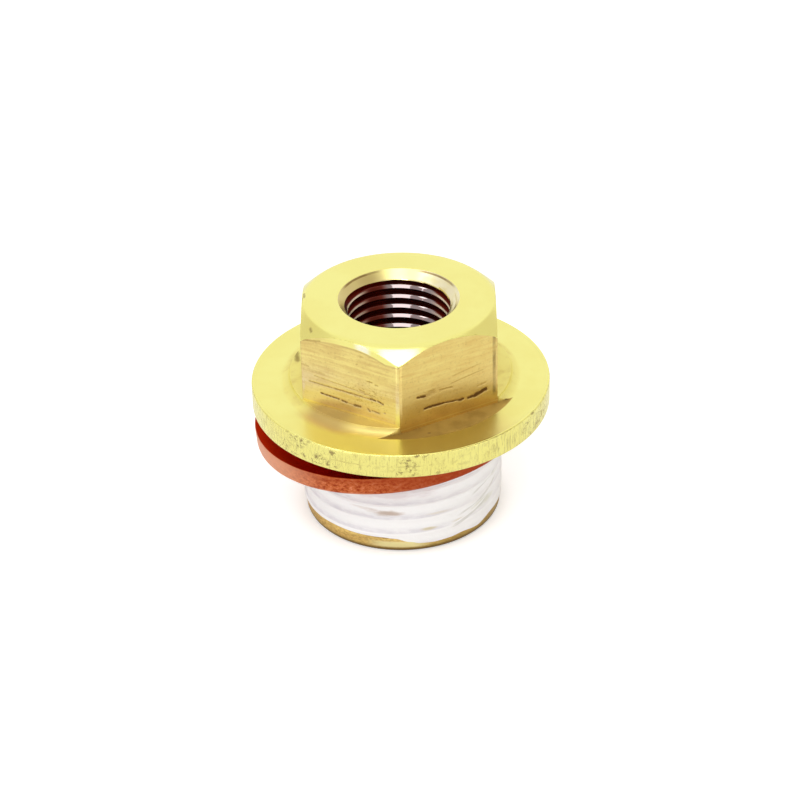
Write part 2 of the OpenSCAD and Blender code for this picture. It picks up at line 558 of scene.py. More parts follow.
def slack_film(degrees, height):
    """How far the film stands loose off the upper threads, at the front and to the right."""
    upright = ease(4.5, 6.5, height) * (1 - ease(8.0, TAPE_TOP, height))
    around = ease(-75, -30, degrees) * (1 - ease(0, 45, degrees))
    return 0.16 * upright * around


def tape_skin(degrees, height):
    """Outside radius of the tape: ridges over the thread's crests, and film stretched between them."""
    dip, half_land, flank = 0.15, 0.05, 0.2
    turns = (degrees + 90.0) / 360.0
    wander = 0.12 * noise.noise(at_angle(degrees, 1.3, height * 0.4))
    phase = (height + wander - FIRST_CREST) / SHANK_PITCH - turns
    away = abs(phase - round(phase)) * SHANK_PITCH
    hollow = 1 - math.exp(-max(0.0, away - half_land) / flank)
    drawn = 0.5 + 0.5 * noise.noise(at_angle(degrees, 2.2, height * 2.2))
    radius = TAPE_R - dip * hollow * lerp(0.65, 1.0, drawn)
    radius -= 0.012 * abs(noise.noise(at_angle(degrees, 9.0, height * 8.0)))
    radius += crease_rise(degrees, height) + slack_film(degrees, height)
    return max(TAPE_INSIDE + 0.015, radius)


def make_tape():
    bm = bmesh.new()
    rows = 120
    turned(bm, [(TAPE_R, row) for row in range(rows + 1)], steps=360)
    for vert in bm.verts:
        degrees = math.degrees(math.atan2(vert.co.y, vert.co.x))
        height = lerp(tape_foot(degrees), TAPE_TOP, vert.co.z / rows)
        vert.co = at_angle(degrees, tape_skin(degrees, height), height)
    top = open_ring(bm, TAPE_TOP)
    inside = draw_on(bm, open_edges_but(bm, top))
    for vert in verts_of(inside):
        set_radius(vert, TAPE_INSIDE)
    inside = draw_on(bm, inside)
    for vert in verts_of(inside):
        vert.co.z = TAPE_TOP
    join_rings(bm, top, inside)
    bmesh.ops.recalc_face_normals(bm, faces=bm.faces[:])
    return finish_mesh(bm, "sealing_tape", sharp=60)


plug = make_plug()
ring = make_washer()
tape = make_tape()


class Nodes:
    """A node tree, with short calls for what the finishes and the light below are made of."""

    def __init__(self, owner, place):
        owner.use_nodes = True
        self.tree = owner.node_tree
        self.tree.nodes.clear()
        self.place = self.tree.nodes.new("ShaderNodeTexCoord").outputs[place]
        self.mm = self.vector("MULTIPLY", self.place, (1000, 1000, 1000))

    def node(self, kind, settings=None, **sockets):
        """Adds a node. A socket goes by its name, or by its number, such as i0."""
        made = self.tree.nodes.new("ShaderNode" + kind)
        for key, value in (settings or {}).items():
            setattr(made, key, value)
        for key, value in sockets.items():
            by_number = key[0] == "i" and key[1:].isdigit()
            socket = made.inputs[int(key[1:]) if by_number else key.replace("_", " ")]
            if isinstance(value, bpy.types.NodeSocket):
                self.tree.links.new(value, socket)
            else:
                socket.default_value = value
        return made

    def numbered(self, kind, settings, values):
        """Adds a node whose sockets take the values in their order."""
        return self.node(kind, settings, **{f"i{k}": value for k, value in enumerate(values)})

    def maths(self, operation, *values, clamp=False):
        return self.numbered("Math", {"operation": operation, "use_clamp": clamp}, values).outputs[0]

    def times(self, a, b, clamp=False):
        return self.maths("MULTIPLY", a, b, clamp=clamp)

    def plus(self, a, b):
        return self.maths("ADD", a, b)

    def less(self, a, b):
        return self.maths("SUBTRACT", a, b)

    def most(self, *values):
        top = values[0]
        for value in values[1:]:
            top = self.maths("MAXIMUM", top, value)
        return top

    def vector(self, operation, *values, out="Vector"):
        return self.numbered("VectorMath", {"operation": operation}, values).outputs[out]

    def dot(self, a, b):
        return self.vector("DOT_PRODUCT", a, b, out="Value")

    def ramp(self, value, low, high, to_low=0.0, to_high=1.0):
        settings = {"interpolation_type": "SMOOTHSTEP", "clamp": True}
        return self.numbered("MapRange", settings, (value, low, high, to_low, to_high)).outputs[0]

    def blend(self, share, a, b):
        settings = {"data_type": "RGBA", "clamp_factor": True}
        return self.node("Mix", settings, i0=share, i6=a, i7=b).outputs[2]

    def noise(self, scale, vector=None, detail=3.0, roughness=0.55):
        place = vector or self.place
        made = self.node("TexNoise", Vector=place, Scale=scale, Detail=detail, Roughness=roughness)
        return made.outputs[0]

    def stretched(self, x, y, z):
        return self.vector("MULTIPLY", self.mm, (x, y, z))

    def joined(self, x, y, z):
        return self.node("CombineXYZ", i0=x, i1=y, i2=z).outputs[0]

    def parts(self):
        return self.node("SeparateXYZ", i0=self.mm).outputs[:]

    def round_place(self):
        """Angle from -Y in radians, reach from the axis and height, in millimetres."""
        x, y, z = self.parts()
        angle = self.maths("ARCTAN2", x, self.times(y, -1.0))
        reach = self.vector("LENGTH", self.stretched(1, 1, 0), out="Value")
        return angle, reach, z

    def band(self, value, low, high, soft):
        """One between two values, with soft ends."""
        rise = self.ramp(value, low - soft, low + soft)
        return self.times(rise, self.ramp(value, high - soft, high + soft, 1.0, 0.0))

    def scratch(self, start, end, width, wobble):
        """A mark along a straight line between two places, with an uneven edge."""
        along = end - start
        offset = self.vector("SUBTRACT", self.mm, tuple(start))
        share = self.times(self.dot(offset, tuple(along)), 1 / along.length_squared, clamp=True)
        nearest = self.node("VectorMath", {"operation": "SCALE"}, i0=tuple(along), i3=share).outputs[0]
        away = self.vector("DISTANCE", offset, nearest, out="Value")
        away = self.plus(away, self.times(wobble, width))
        return self.ramp(away, 0.2 * width, 1.5 * width, 1.0, 0.0)

    def output(self, kind, shader):
        out = self.tree.nodes.new(kind)
        self.tree.links.new(shader.outputs[0], out.inputs["Surface"])


class Finish(Nodes):
    """A material, whose colour is built up in tints."""

    def __init__(self, name):
        self.material = bpy.data.materials.new(name)
        super().__init__(self.material, "Object")

    def tint(self, share, color):
        self.color = self.blend(share, self.color, color)

    def shine(self, roughness, relief=None, height=0.0, **sockets):
        """Ends the material: its gloss, and its relief, so many millimetres high."""
        shader = self.node("BsdfPrincipled", Base_Color=self.color, Roughness=roughness, **sockets)
        if relief is not None:
            bump = self.node("Bump", Strength=1.0, Distance=height * MM, Height=relief)
            self.tree.links.new(bump.outputs[0], shader.inputs["Normal"])
        self.output("ShaderNodeOutputMaterial", shader)
        return self.material


class RoundFinish(Finish):
    """A material that knows its place round the plug's axis."""

    def __init__(self, name):
        super().__init__(name)
        self.angle, self.reach, self.height = self.round_place()

    def grain(self, around, up, apart, detail, roughness=0.55):
        """Noise, so fine round the axis and up it. Grains that stand apart differ."""
        place = self.joined(self.times(self.angle, around), self.times(self.height, up), apart)
        return self.noise(1.0, place, detail, roughness)


WHITE = (1.0, 1.0, 1.0, 1)
PALE_BRASS = (0.93, 0.875, 0.29, 1)
DEEP_BRASS = (0.80, 0.66, 0.20, 1)
BRIGHT_EDGE = (0.96, 0.86, 0.36, 1)
BROWN_EDGE = (0.34, 0.20, 0.06, 1)
BROWN = (0.20, 0.11, 0.035, 1)
GRIME = (0.10, 0.045, 0.012, 1)

# Dents in the turned faces: both ends and the width
DENTS = (
    ((-9.4, 3.2, FOOT_TOP - 0.05), (-9.2, 1.7, FOOT_TOP), 0.3),
    ((2.45, -9.75, FLANGE_TOP), (2.55, -9.75, FLANGE_TOP), 0.12),
    ((8.4, -4.3, FLANGE_TOP), (9.45, -4.55, FLANGE_TOP), 0.11),
    ((-7.6, -4.5, 20.55), (-7.5, -4.85, 20.5), 0.17),
    ((-8.3, 0.3, 21.0), (-8.35, 1.0, 20.95), 0.14),
    ((-0.7, -9.73, 19.68), (0.2, -9.8, 19.66), 0.08),
)


class TurnedBrass(RoundFinish):
    """Lathe work: fine rings on the faces, ticks and specks on the flange's rim, a duller foot."""

    def __init__(self):
        super().__init__("turned_brass")
        self.cloud = self.noise(0.25, self.mm)
        self.smear = self.noise(0.7, self.stretched(1, 1, 2), 4.0)
        self.color = self.blend(self.ramp(self.cloud, 0.35, 0.65), PALE_BRASS, (0.91, 0.84, 0.265, 1))
        self.find_places()

    def find_places(self):
        """Where the rim, the flange's top, the foot, the countersink and the shank's nose are."""
        reach, height = self.reach, self.height
        on_side = self.ramp(reach, FLANGE_R - 0.2, FLANGE_R - 0.1)
        self.on_rim = self.times(self.band(height, SHANK_LEN + 0.05, FLANGE_TOP - 0.02, 0.06), on_side)
        off_side = self.ramp(reach, FLANGE_R - 0.1, FLANGE_R - 0.3, 0, 1)
        self.on_flange = self.times(self.band(height, FLANGE_TOP - 0.1, FOOT_TOP + 0.05, 0.03), off_side)
        near_foot = self.ramp(reach, FOOT_R + 0.5, FOOT_R + 0.95, 1.0, 0.0)
        self.on_foot = self.times(self.on_flange, near_foot)
        in_mouth = self.ramp(reach, MOUTH_R + 0.02, MOUTH_R - 0.04)
        self.on_sink = self.times(in_mouth, self.ramp(height, TOP - 1.2, TOP - 0.9))
        self.at_nose = self.ramp(height, 3.0, 3.4, 1.0, 0.0)

    def dull_foot(self):
        """The foot is more golden than the faces, most of all in front."""
        in_front = self.band(self.angle, -0.5, 0.25, 0.15)
        self.tint(self.times(self.on_foot, self.ramp(in_front, 0.0, 1.0, 0.15, 0.85)), (0.80, 0.63, 0.22, 1))

    def paint_countersink_reflections(self):
        """The countersink: a smeared golden tone, with painted reflections: a painted shade on its left, a
        painted creamy highlight on its right and a painted dark brown line under its lip.
        """
        angle, smear, on_sink = self.angle, self.smear, self.on_sink
        self.tint(self.times(on_sink, self.ramp(smear, 0.3, 0.7, 0.5, 0.9)), (0.82, 0.69, 0.32, 1))
        # painted shade on the countersink's left
        left = self.times(on_sink, self.band(angle, -2.6, -1.3, 0.3))
        self.tint(self.times(left, 0.5), (0.66, 0.53, 0.24, 1))
        # painted creamy highlight on the countersink's right
        right = self.times(on_sink, self.band(angle, 1.2, 2.75, 0.3))
        self.tint(self.times(right, self.ramp(smear, 0.35, 0.6, 0.5, 0.95)), (0.97, 0.92, 0.66, 1))
        # painted dark reflection: a brown line under the lip, towards the sides
        off_back = self.less(math.pi, self.maths("ABSOLUTE", angle))
        lip = self.band(self.reach, MOUTH_R - 0.17, MOUTH_R - 0.04, 0.03)
        lip = self.times(lip, self.band(off_back, 0.35, 1.15, 0.12))
        self.tint(self.times(lip, self.ramp(smear, 0.3, 0.55, 0.4, 0.9)), (0.30, 0.19, 0.06, 1))

    def tarnish_and_shade_foot(self):
        """Brown tarnished tone on the foot in front of the left front flat, and fainter elsewhere; it is
        also a painted shade that dims the fillet's highlight, darkest on the fillet.
        """
        near = self.ramp(self.reach, 10.5, 11.5, 1.0, 0.0)
        tarnish_and_shade = self.times(self.band(self.angle, -0.93, -0.46, 0.12), near)
        elsewhere = self.times(self.on_foot, self.ramp(self.smear, 0.45, 0.75, 0.0, 0.35))
        self.tarnish_and_shade = self.times(self.most(tarnish_and_shade, elsewhere), self.on_flange)
        # painted shade: darker on the fillet, lighter further out
        outwards = self.ramp(self.reach, FOOT_R + 0.2, FOOT_R + 0.9)
        tan = self.blend(outwards, (0.60, 0.44, 0.18, 1), (0.73, 0.54, 0.23, 1))
        self.tint(self.times(self.tarnish_and_shade, 0.85), tan)

    def mark_rim(self):
        """Upright ticks, specks in clusters, and a broken line scribed along the rim's middle."""
        angle = self.angle
        ticks = self.ramp(self.grain(75.0, 0.8, 0.0, 4.0, 0.7), 0.48, 0.72)
        clusters = self.ramp(self.grain(9.0, 0.9, 4.0, 2.0), 0.44, 0.62)
        left, middle = self.band(angle, -0.85, -0.42, 0.08), self.band(angle, -0.05, 0.24, 0.08)
        worn = self.most(left, middle, self.band(angle, 0.95, 1.25, 0.1))
        clusters = self.times(clusters, self.ramp(worn, 0.0, 1.0, 0.32, 1.0))
        clusters = self.times(clusters, self.ramp(angle, -1.25, -0.9, 0.25, 1.0))
        specks = self.ramp(self.grain(34.0, 2.4, 9.0, 5.0, 0.65), 0.46, 0.62)
        scribed = self.times(self.band(self.height, 11.93, 12.0, 0.07), self.band(angle, -0.5, 0.3, 0.12))
        scribed = self.times(scribed, self.ramp(self.noise(1.4, self.mm, 4.0), 0.4, 0.62))
        marks = self.most(self.times(ticks, 0.52), self.times(clusters, specks), self.times(scribed, 0.8))
        self.rim_marks = self.times(marks, self.on_rim)
        self.tint(self.rim_marks, (0.36, 0.28, 0.11, 1))

    def nose_freckles_and_painted_light(self):
        """The shank's nose: golden and freckled, with a painted shade on its right, a painted highlight in
        front and a painted contact shadow where it stands on its end.
        """
        freckles = self.ramp(self.noise(3.0, self.stretched(1, 1, 2.0), 4.0, 0.65), 0.36, 0.68)
        self.tint(self.at_nose, (0.84, 0.60, 0.20, 1))
        self.tint(self.times(self.at_nose, self.times(freckles, 0.65)), (0.47, 0.28, 0.08, 1))
        # painted shade on the right of the nose
        right_side_shade = self.times(self.at_nose, self.band(self.angle, 0.35, 1.9, 0.2))
        self.tint(self.times(right_side_shade, 0.6), (0.42, 0.28, 0.08, 1))
        # painted highlight in front
        front_highlight = self.times(self.band(self.angle, -0.3, 0.22, 0.12), self.band(self.height, 0.5, 1.1, 0.12))
        self.tint(self.times(front_highlight, 0.9), (0.98, 0.90, 0.46, 1))
        # painted contact shadow along the bottom, where it stands on its end
        self.tint(self.times(self.ramp(self.height, 0.32, 0.62, 1.0, 0.0), 0.9), (0.24, 0.15, 0.045, 1))

    def mill_floor(self):
        """The floor that the cutter left in front of the right front flat, painted dark brown as a painted
        shade, lighter towards the right, and the gold beside it.
        """
        milled = 0.0
        for out, place in CUT_WAYS:
            past = self.dot(self.vector("SUBTRACT", self.mm, tuple(place)), tuple(out))
            milled = self.maths("MAXIMUM", milled, self.ramp(past, 0.0, 0.04))
        cut_end = self.ramp(self.reach, 10.66, 10.74, 1.0, 0.0)
        self.milled = self.times(self.times(milled, cut_end), self.on_flange)
        golden = self.times(self.on_flange, self.band(self.angle, 0.02, 0.85, 0.14))
        self.tint(self.times(golden, 0.45), (0.88, 0.70, 0.26, 1))
        # painted shade on the milled floor, lighter towards the right
        rightwards = self.ramp(self.parts()[0], -2.0, 4.5)
        floor_shade_tone = self.blend(rightwards, (0.37, 0.235, 0.055, 1), (0.56, 0.39, 0.115, 1))
        floor_shade_tone = self.blend(self.ramp(self.smear, 0.4, 0.7, 0.0, 0.6), floor_shade_tone, (0.38, 0.24, 0.06, 1))
        self.tint(self.times(self.milled, 0.93), floor_shade_tone)

    def dent(self):
        """Small dents and nicks on the flange and on the turned corners."""
        wobble = self.less(self.noise(3.5, self.mm), 0.35)
        dents = self.most(*(self.scratch(Vector(a), Vector(b), width, wobble) for a, b, width in DENTS))
        self.dents = self.times(dents, 0.6)
        self.tint(self.dents, BROWN)

    def done(self):
        worn = self.most(self.rim_marks, self.dents, self.milled, self.tarnish_and_shade)
        dull = self.most(self.at_nose, self.on_flange, self.on_sink)
        rough = self.plus(0.14, self.times(self.cloud, 0.1))
        rough = self.plus(rough, self.times(worn, 0.25))
        rough = self.plus(rough, self.times(dull, 0.14))
        rough = self.plus(rough, self.times(self.on_foot, 0.16))
        across = self.times(self.reach, 9.0)
        rings = self.node("TexNoise", {"noise_dimensions": "1D"}, W=across, Scale=1.0, Detail=2.0)
        relief = self.less(self.times(rings.outputs[0], 0.03), self.most(self.rim_marks, self.dents))
        return self.shine(rough, relief, 0.04, Metallic=1.0)


def turned_brass():
    f = TurnedBrass()
    f.dull_foot()
    f.paint_countersink_reflections()
    f.tarnish_and_shade_foot()
    f.mark_rim()
    f.nose_freckles_and_painted_light()
    f.mill_floor()
    f.dent()
    return f.done()


# Marks on the two front flats: place across the flat and height of both ends, width, strength
LEFT_MARKS = (
    (-4.15, 15.8, -0.6, 15.77, 0.1, 0.68), (-0.6, 15.77, 2.1, 15.72, 0.1, 0.68),
    (2.05, 15.77, 2.5, 15.74, 0.13, 0.9), (2.75, 15.76, 3.25, 15.6, 0.12, 0.9),
    (-3.0, 14.92, -1.2, 14.82, 0.11, 0.9), (-0.85, 14.78, -0.4, 14.7, 0.14, 0.9),
    (0.4, 14.66, 0.95, 14.68, 0.15, 1.0), (-0.4, 14.7, 0.4, 14.66, 0.07, 0.4),
    (1.75, 14.68, 1.92, 14.52, 0.12, 0.9), (2.15, 14.64, 2.85, 14.56, 0.11, 0.7),
    (3.38, 14.74, 3.48, 14.74, 0.09, 0.7), (1.75, 17.45, 2.2, 17.45, 0.08, 0.7),
    (2.55, 17.3, 2.75, 17.3, 0.08, 0.6), (0.95, 16.35, 1.4, 16.3, 0.08, 0.6),
    (0.7, 18.85, 0.8, 18.9, 0.09, 0.5), (0.95, 19.75, 1.4, 19.75, 0.09, 0.35),
    (-4.8, 19.8, -2.9, 20.15, 0.1, 0.6), (-4.85, 17.35, -4.2, 17.3, 0.1, 0.4),
    (-3.6, 16.5, 2.2, 16.1, 0.08, 0.5), (-4.2, 17.0, -2.6, 16.9, 0.14, 0.3),
)
RIGHT_MARKS = (
    (-2.41, 14.83, -1.7, 14.86, 0.17, 1.1), (-1.7, 14.86, -0.6, 14.79, 0.15, 1.05),
    (-0.6, 14.79, 1.0, 14.62, 0.12, 0.9), (1.05, 14.56, 1.4, 14.6, 0.17, 1.0),
    (1.95, 14.5, 2.6, 14.56, 0.18, 1.0), (2.6, 14.56, 3.7, 14.85, 0.24, 1.25),
    (-3.1, 16.15, -2.4, 16.07, 0.16, 1.0), (-2.4, 16.05, -1.6, 16.25, 0.28, 0.5),
    (-0.9, 16.2, 0.3, 16.1, 0.1, 0.45), (0.4, 17.2, 3.2, 17.6, 0.07, 0.3),
    (0.2, 16.5, 3.4, 16.9, 0.07, 0.35), (2.9, 15.4, 3.7, 15.5, 0.1, 0.35),
)


class MilledFlat(Finish):
    """The hexagon's milled flats: lines along them, browner towards the foot, with marks on some."""

    def __init__(self, name, dark, light, foot):
        super().__init__(name)
        angle, _, self.height = self.round_place()
        turns = self.times(angle, 6 / TURN)
        side = self.maths("FLOOR", turns)
        within = self.times(self.less(self.less(turns, side), 0.5), TURN / 6)
        self.across = self.times(self.maths("TANGENT", within), HEX_FLAT)
        self.apart = self.times(side, 7.3)
        self.streak = self.grain(0.3, 4.0, 5.0)
        self.cloud = self.grain(0.6, 0.7, 4.0)
        both = self.plus(self.times(self.streak, 0.6), self.times(self.cloud, 0.4))
        self.color = self.blend(self.ramp(both, 0.32, 0.68), dark, light)
        lower = self.ramp(self.height, FOOT_TOP, FOOT_TOP + 5.0, 1.0, 0.0)
        self.tint(self.times(lower, self.ramp(self.streak, 0.4, 0.65, 0.5, 0.85)), foot)
        self.tint(self.ramp(self.noise(5.0, self.mm, 3.0, 0.7), 0.52, 0.72, 0.0, 0.22), BROWN)
        self.marks = 0.0

    def grain(self, along, up, detail):
        """Grain that runs along a flat, and differs from one flat to the next."""
        place = self.joined(self.times(self.across, along), self.times(self.height, up), self.apart)
        return self.noise(1.0, place, detail, 0.6)

    def mark(self, degrees, table, least):
        """Adds scratches, brown at their edges, dark in the middle and broken down to the least strength."""
        wobble = self.times(self.less(self.noise(4.0, self.mm, 4.0, 0.7), 0.48), 1.5)
        uneven = self.ramp(self.grain(5.0, 2.5, 4.0), 0.36, 0.56, least, 1.0)
        for u0, z0, u1, z1, width, strength in table:
            made = self.scratch(on_flat(degrees, u0, z0), on_flat(degrees, u1, z1), width, wobble)
            self.marks = self.maths("MAXIMUM", self.marks, self.times(made, strength))
        self.marks = self.times(self.marks, uneven)
        self.tint(self.times(self.marks, 0.85), (0.34, 0.19, 0.05, 1))
        self.tint(self.times(self.ramp(self.marks, 0.5, 0.95), 0.8), GRIME)

    def done(self):
        rough = self.plus(self.plus(0.24, self.times(self.cloud, 0.12)), self.times(self.marks, 0.25))
        relief = self.less(self.times(self.streak, 0.3), self.marks)
        return self.shine(rough, relief, 0.022, Metallic=1.0)


def pepper(f):
    """Fine dark specks round the scratches of the left front flat."""
    peppered = f.times(f.band(f.across, -0.2, 3.3, 1.2), f.band(f.height, 15.0, 17.0, 0.7))
    f.tint(f.times(peppered, f.ramp(f.grain(4.0, 8.0, 3.0), 0.54, 0.66, 0.0, 0.7)), BROWN_EDGE)


def paint_upper_edge_light(f):
    """The left front flat's upper edge, painted as pale as the corners' reflection above a curved border,
    most of all on its right, with a painted near-white highlight and a painted shadow line just below.
    """
    rightwards = f.maths("MAXIMUM", f.across, 0.0)
    leftwards = f.maths("MAXIMUM", f.times(f.across, -1.0), 0.0)
    right = f.times(f.maths("POWER", rightwards, 2.0), 0.055)
    left = f.times(f.maths("POWER", leftwards, 2.0), 0.022)
    border = f.maths("MAXIMUM", f.less(20.33, f.plus(right, left)), 19.62)
    over = f.less(f.height, border)
    # painted shadow: a thin brown line just below the border
    line = f.times(f.band(over, -0.16, -0.03, 0.04), f.ramp(f.cloud, 0.35, 0.6, 0.1, 0.5))
    f.tint(line, (0.45, 0.33, 0.12, 1))
    # painted reflection above the border, and a painted near-white highlight on its right
    f.tint(f.times(f.ramp(over, -0.02, 0.06), f.ramp(f.across, -4.2, 0.0, 0.25, 1.0)), PALE_BRASS)
    f.tint(f.times(f.ramp(over, 0.0, 0.1), f.band(f.across, 0.7, 2.0, 0.35)), (0.99, 0.97, 0.75, 1))


def lit_left_flat():
    """The left front flat, with a lighter palette than the other flats as painted light: painted highlights
    as a paler ledge along its foot and a paler front edge, rows of short scratches.
    """
    # a lighter palette than the other flats, paler towards the foot, as painted light
    f = MilledFlat("lit_left_flat", (0.71, 0.52, 0.18, 1), (0.92, 0.775, 0.28, 1), (0.83, 0.685, 0.50, 1))
    # painted highlights: along the foot and on the front edge, paler low down; the nick is drawn in the same
    # pale colour
    ledge = f.times(f.band(f.height, FOOT_TOP + 0.02, FOOT_TOP + 0.16, 0.05), 0.6)
    by_height = f.plus(f.ramp(f.height, 14.6, 15.2, 0.35, 0.0), f.ramp(f.height, 15.6, 16.4, 0.3, 0.0))
    edge = f.times(f.ramp(f.across, 4.38, 4.6), by_height)
    nick = f.times(f.ramp(f.across, 4.15, 4.4, 0.0, 0.45), f.band(f.height, 15.9, 16.02, 0.07))
    f.tint(f.most(ledge, edge, nick), BRIGHT_EDGE)
    f.tint(f.ramp(f.across, -4.82, -4.95, 0.0, 0.5), BROWN_EDGE)
    pepper(f)
    paint_upper_edge_light(f)
    f.mark(-120, LEFT_MARKS, 0.7)
    return f.done()


def right_flat():
    """The right front flat: a painted highlight line along its foot, a brown groove beside its far corner,
    and two gouges.
    """
    f = MilledFlat("right_flat", (0.75, 0.54, 0.17, 1), (0.85, 0.69, 0.24, 1), (0.76, 0.54, 0.21, 1))
    # painted highlight: a thin pale line low on the flat, where the cutter's round corner would shine
    f.tint(f.times(f.band(f.height, 13.34, 13.42, 0.04), 0.5), BRIGHT_EDGE)
    groove = f.times(f.band(f.across, 4.42, 4.72, 0.08), f.band(f.height, 14.1, 20.3, 0.3))
    f.tint(f.times(groove, f.ramp(f.cloud, 0.35, 0.6, 0.4, 0.85)), (0.32, 0.23, 0.08, 1))
    f.mark(-60, RIGHT_MARKS, 0.92)
    return f.done()


def plain_flat():
    """The flats at the sides and the back."""
    f = MilledFlat("plain_flat", (0.75, 0.54, 0.175, 1), (0.85, 0.68, 0.235, 1), (0.74, 0.50, 0.17, 1))
    f.tint(f.ramp(f.maths("ABSOLUTE", f.across), 4.82, 4.95, 0.0, 0.4), BROWN_EDGE)
    f.tint(f.times(f.ramp(f.grain(0.5, 9.0, 3.0), 0.6, 0.72), 0.4), BROWN_EDGE)
    return f.done()


def cut_thread():
    """The port's thread: brass by the mouth, further down a very dark red that is partly a painted shade,
    under a glossy coat.
    """
    f = RoundFinish("cut_thread")
    angle, height = f.angle, f.height
    cloud = f.noise(0.8, f.mm)
    deep = f.ramp(height, TOP - 1.05, TOP - 0.8, 1.0, 0.0)
    dark = f.blend(f.ramp(cloud, 0.35, 0.7), (0.22, 0.012, 0.004, 1), (0.30, 0.035, 0.012, 1))
    f.color = f.blend(deep, DEEP_BRASS, dark)
    # the glossy coat is full along the back, where the lamps' highlights fall, and at the far sides, and
    # thin elsewhere
    off_back = f.less(math.pi, f.maths("ABSOLUTE", angle))
    right, left = f.ramp(angle, 2.25, 2.5), f.ramp(angle, -2.75, -2.95)
    film = f.most(right, left, f.ramp(off_back, 1.15, 1.5), 0.12)
    # how far a place is above the crest below it, in pitches, with narrower bevels at the sides
    turns = f.less(f.times(angle, 1 / TURN), 0.25)
    pitches = f.times(f.less(height, PORT_START), 1 / PORT_PITCH)
    within = f.maths("FRACT", f.less(pitches, turns))
    within = f.times(within, f.ramp(off_back, 0.5, 1.3, 1.0, 1.6))
    crest = f.band(within, 0.08, 0.34, 0.02)
    # painted shade: all but the crest bevels darkened
    dull = f.times(f.less(1.0, crest), deep)
    f.tint(dull, (0.20, 0.012, 0.004, 1))
    # painted shade: the whole thread below the mouth darkened further, most under the glossy coat
    f.tint(f.times(f.less(1.0, film), f.times(deep, 0.75)), (0.10, 0.006, 0.002, 1))
    f.tint(f.times(film, f.times(deep, 0.9)), (0.05, 0.007, 0.004, 1))
    # painted highlights: thin pale lines along the bevels at the sides
    edge = f.times(f.band(within, 0.12, 0.27, 0.03), f.band(off_back, 0.8, 1.6, 0.2))
    f.tint(f.times(edge, 0.9), (0.92, 0.80, 0.62, 1))
    # only the bevels and the brass by the mouth keep the glossy coat
    film = f.times(film, f.most(crest, f.less(1.0, deep)))
    rough = f.plus(f.plus(0.12, f.times(cloud, 0.1)), f.times(f.most(dull, edge), 0.35))
    return f.shine(rough, Metallic=1.0, Coat_Weight=film, Coat_Roughness=0.06, Coat_IOR=2.6)


def soft_copper(name, darkest, main, light, glancing=WHITE):
    """Annealed copper with a fine grain, a little lighter in places."""
    f = Finish(name)
    grain = f.noise(2.2, f.stretched(1, 1, 1.6), 6.0, 0.75)
    cloud = f.noise(0.4, f.mm)
    f.color = f.blend(f.ramp(grain, 0.38, 0.56), darkest, main)
    f.tint(f.times(f.ramp(grain, 0.52, 0.72), f.ramp(cloud, 0.35, 0.65, 0.3, 0.8)), light)
    # painted shade darker towards its upper edge, under the flange, and a painted highlight along its lower
    # edge
    axis = WASHER_PLACE.to_3x3() @ Vector((0, 0, 1))
    depth = f.less(f.dot(f.mm, tuple(axis)), WASHER_PLACE.translation.dot(axis))
    f.tint(f.ramp(depth, 0.7, 1.5, 0.0, 0.5), darkest)
    f.tint(f.times(f.ramp(depth, 0.05, 0.3, 1.0, 0.0), f.ramp(cloud, 0.4, 0.6, 0.1, 0.6)), light)
    # a painted reflection, paler towards its low side, and a painted shade, deeper red towards its high side
    x = f.parts()[0]
    f.tint(f.ramp(x, -11.5, -6.0, 0.75, 0.0), light)
    f.tint(f.ramp(x, -6.0, 5.0, 0.0, 0.85), darkest)
    rough = f.plus(0.3, f.times(grain, 0.25))
    return f.shine(rough, grain, 0.03, Metallic=1.0, Specular_Tint=glancing)


def copper_rim():
    return soft_copper("copper_rim", (0.36, 0.05, 0.014, 1), (0.63, 0.16, 0.05, 1), (0.86, 0.42, 0.25, 1))


# The washer's flat faces: the same copper made much darker and redder, with a red-tinted gloss, as a painted
# shade under the flange
def shaded_copper_face():
    return soft_copper(
        "shaded_copper_face", (0.30, 0.006, 0.001, 1), (0.38, 0.014, 0.003, 1), (0.46, 0.045, 0.012, 1),
        (0.5, 0.12, 0.06, 1),
    )


# Where the film is thin enough for what is under it to show, and one painted shadow: angle and height
# of the middle, half sizes in degrees and millimetres, colour, strength
THIN_PATCHES_AND_SHADOW = (
    (-99, 4.15, 11, 0.33, (0.50, 0.36, 0.27, 1), 0.8),
    (-112, 4.45, 9, 0.2, (0.62, 0.50, 0.44, 1), 0.4),
    (-75, 2.35, 6, 0.16, (0.66, 0.56, 0.34, 1), 0.8),
    (-56, 2.5, 5, 0.14, (0.70, 0.62, 0.42, 1), 0.5),
    (-68, 3.85, 9, 0.14, (0.72, 0.64, 0.50, 1), 0.45),
    (-36, 3.0, 11, 0.5, (0.66, 0.66, 0.52, 1), 0.6),
    (-25, 5.1, 6, 0.3, (0.72, 0.70, 0.56, 1), 0.4),
    # not thin film: a painted shadow under the washer, tinted pink as a painted reflection of the copper
    (-105, 6.3, 38, 0.8, (0.66, 0.53, 0.56, 1), 0.55),
    (70, 3.2, 12, 0.4, (0.62, 0.52, 0.36, 1), 0.6),
    (150, 4.6, 14, 0.4, (0.60, 0.50, 0.36, 1), 0.6),
)

# Folded edges of the film: angle and height of both ends
FOLDS = (
    (-55, 3.15, -22, 4.5),
    (-60, 2.2, -34, 3.2),
    (-45, 4.6, -26, 5.5),
)


